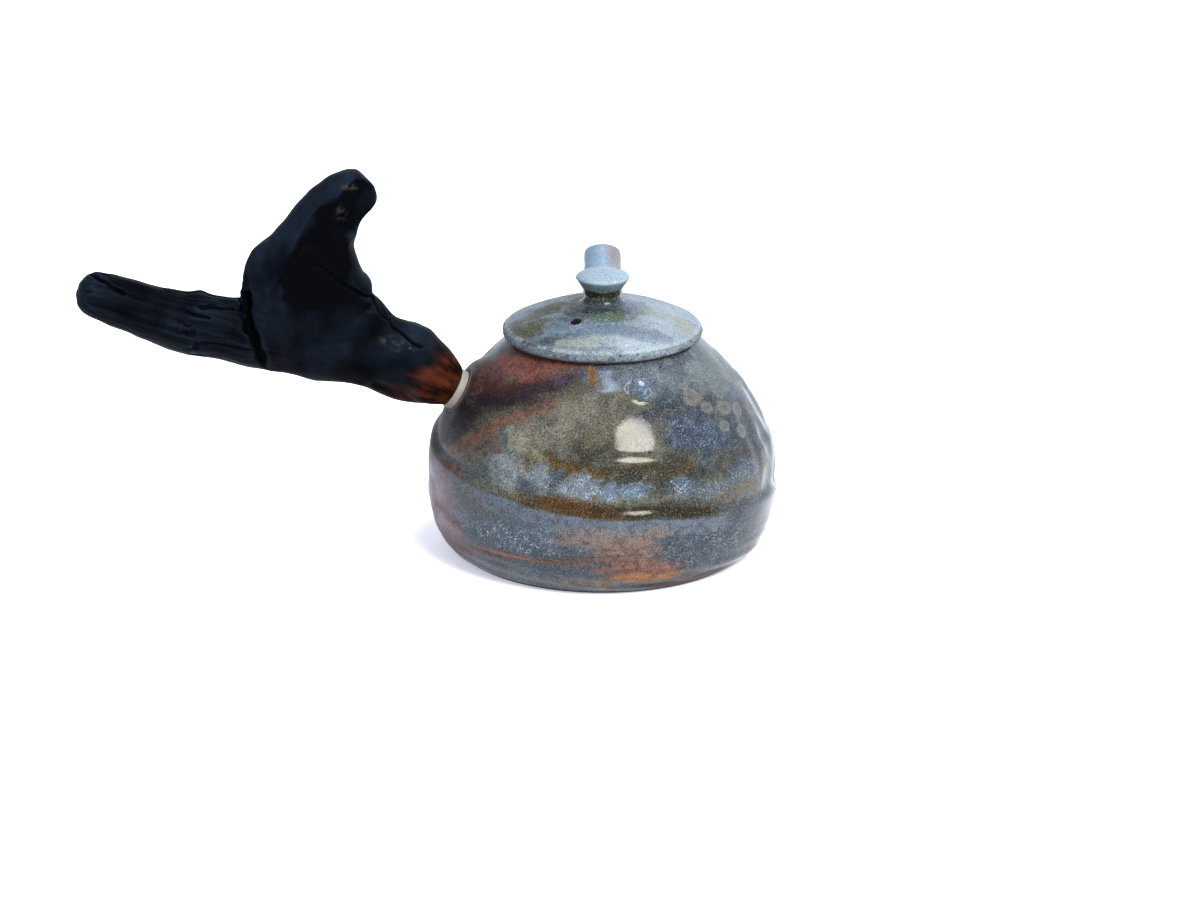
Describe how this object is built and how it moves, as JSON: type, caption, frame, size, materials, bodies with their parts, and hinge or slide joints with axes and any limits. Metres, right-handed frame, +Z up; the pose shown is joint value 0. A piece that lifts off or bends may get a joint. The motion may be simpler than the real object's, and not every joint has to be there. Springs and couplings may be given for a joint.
{
  "type": "side-handled teapot",
  "caption": "Low round side-handled teapot with a short spout, an inner strainer, a knobbed lift-off lid with a steam hole, and a charred forked branch as its handle.",
  "frame": {"origin": "centre of the foot, on the table", "axes": "+Z up along the axis of the body and the lid; +Y towards the spout; the handle leaves on the -X side"},
  "size_m": [0.2197, 0.1373, 0.1283],
  "materials": {
    "ash_glaze": "glossy wood-ash glaze over dark stoneware",
    "lid_glaze": "satin speckled ash glaze",
    "bare_clay": "bare fired stoneware",
    "pale_bush": "plain pale end grain",
    "dowel_wood": "plain turned hardwood",
    "charred_wood": "charred, brushed and oiled"
  },
  "bodies": {
    "pot": {"pot_body": "ash_glaze", "spout": "ash_glaze", "strainer": "bare_clay", "handle_socket": "bare_clay", "collar_bush": "pale_bush", "tenon_dowel": "dowel_wood", "branch_handle": "charred_wood"},
    "lid": {"lid_disc": "lid_glaze", "lid_flange": "bare_clay", "lid_knob": "lid_glaze"}
  },
  "joints": [
    {"name": "lid_lift", "type": "slide", "parent": "pot", "child": "lid", "axis": [0, 0, 1], "range_m": [0, 0.07]}
  ]
}
